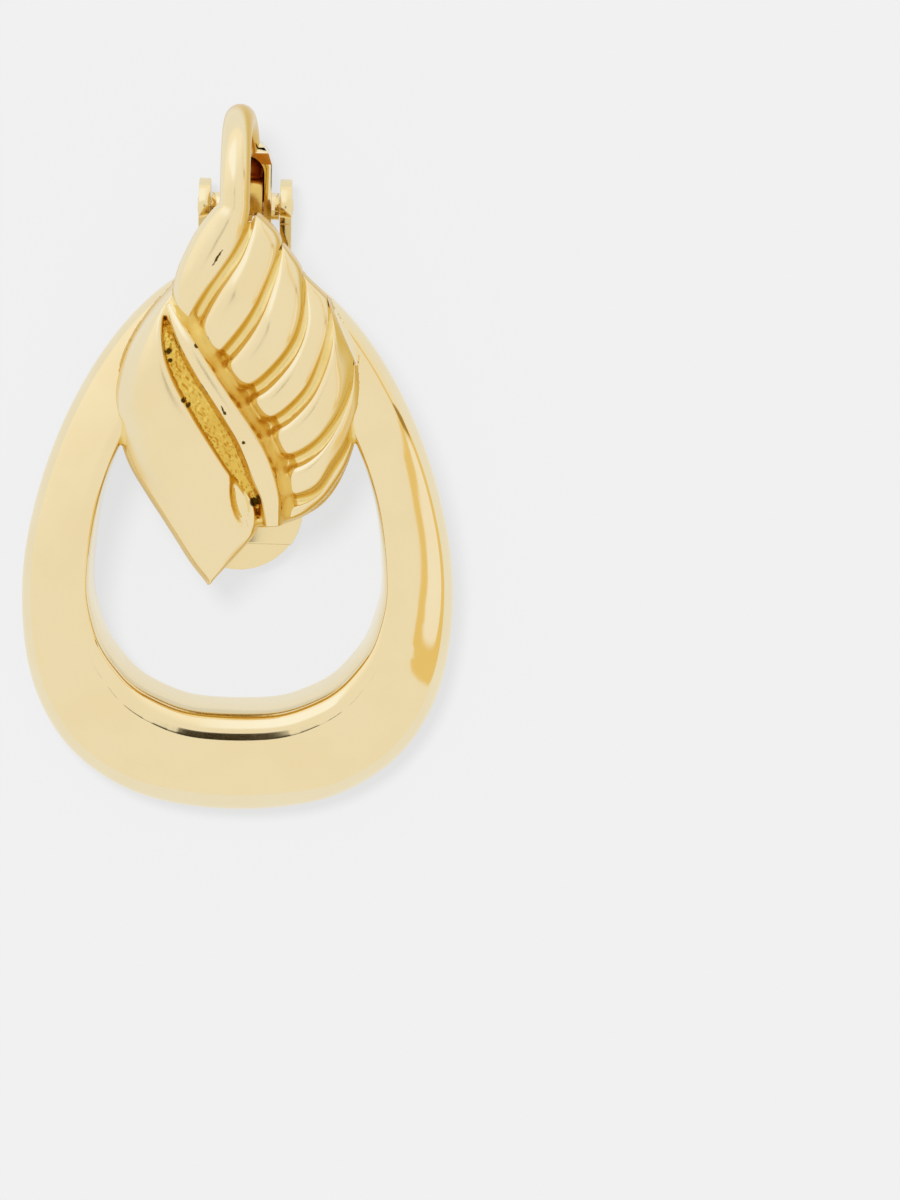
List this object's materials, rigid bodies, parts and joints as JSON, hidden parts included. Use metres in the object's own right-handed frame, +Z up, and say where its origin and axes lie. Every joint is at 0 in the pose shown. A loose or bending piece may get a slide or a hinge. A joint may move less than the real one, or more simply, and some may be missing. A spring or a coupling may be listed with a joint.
{
  "type": "clip-on drop earring",
  "caption": "Clip-on drop earring: a cast egg-shaped hoop with a half-ribbed leaf, an ear bow and a hinged clip paddle with a round pad.",
  "frame": {"origin": "middle of the bounding box, on the surface that the earring lies on", "axes": "+Z up from the surface, out of the earring's front; +Y up the earring from the hoop towards the ear bow; +X to the right as seen from the front"},
  "size_m": [0.0296, 0.0483, 0.0131],
  "materials": {
    "gold_plate": "polished pale gold plate over cast zinc alloy",
    "clip_gold": "polished pale gold plate over sheet brass",
    "spring_gold": "gold-washed spring strip"
  },
  "bodies": {
    "casting": {"earring_casting": "gold_plate", "clip_spring": "spring_gold", "hinge_pin": "clip_gold"},
    "paddle": {"clip_paddle": "clip_gold"}
  },
  "joints": [
    {"name": "paddle_hinge", "type": "hinge", "parent": "casting", "child": "paddle", "pos_m": [-0.00005, 0.01743, 0.0019], "axis": [1, 0, 0], "range_deg": [0, 75]}
  ]
}
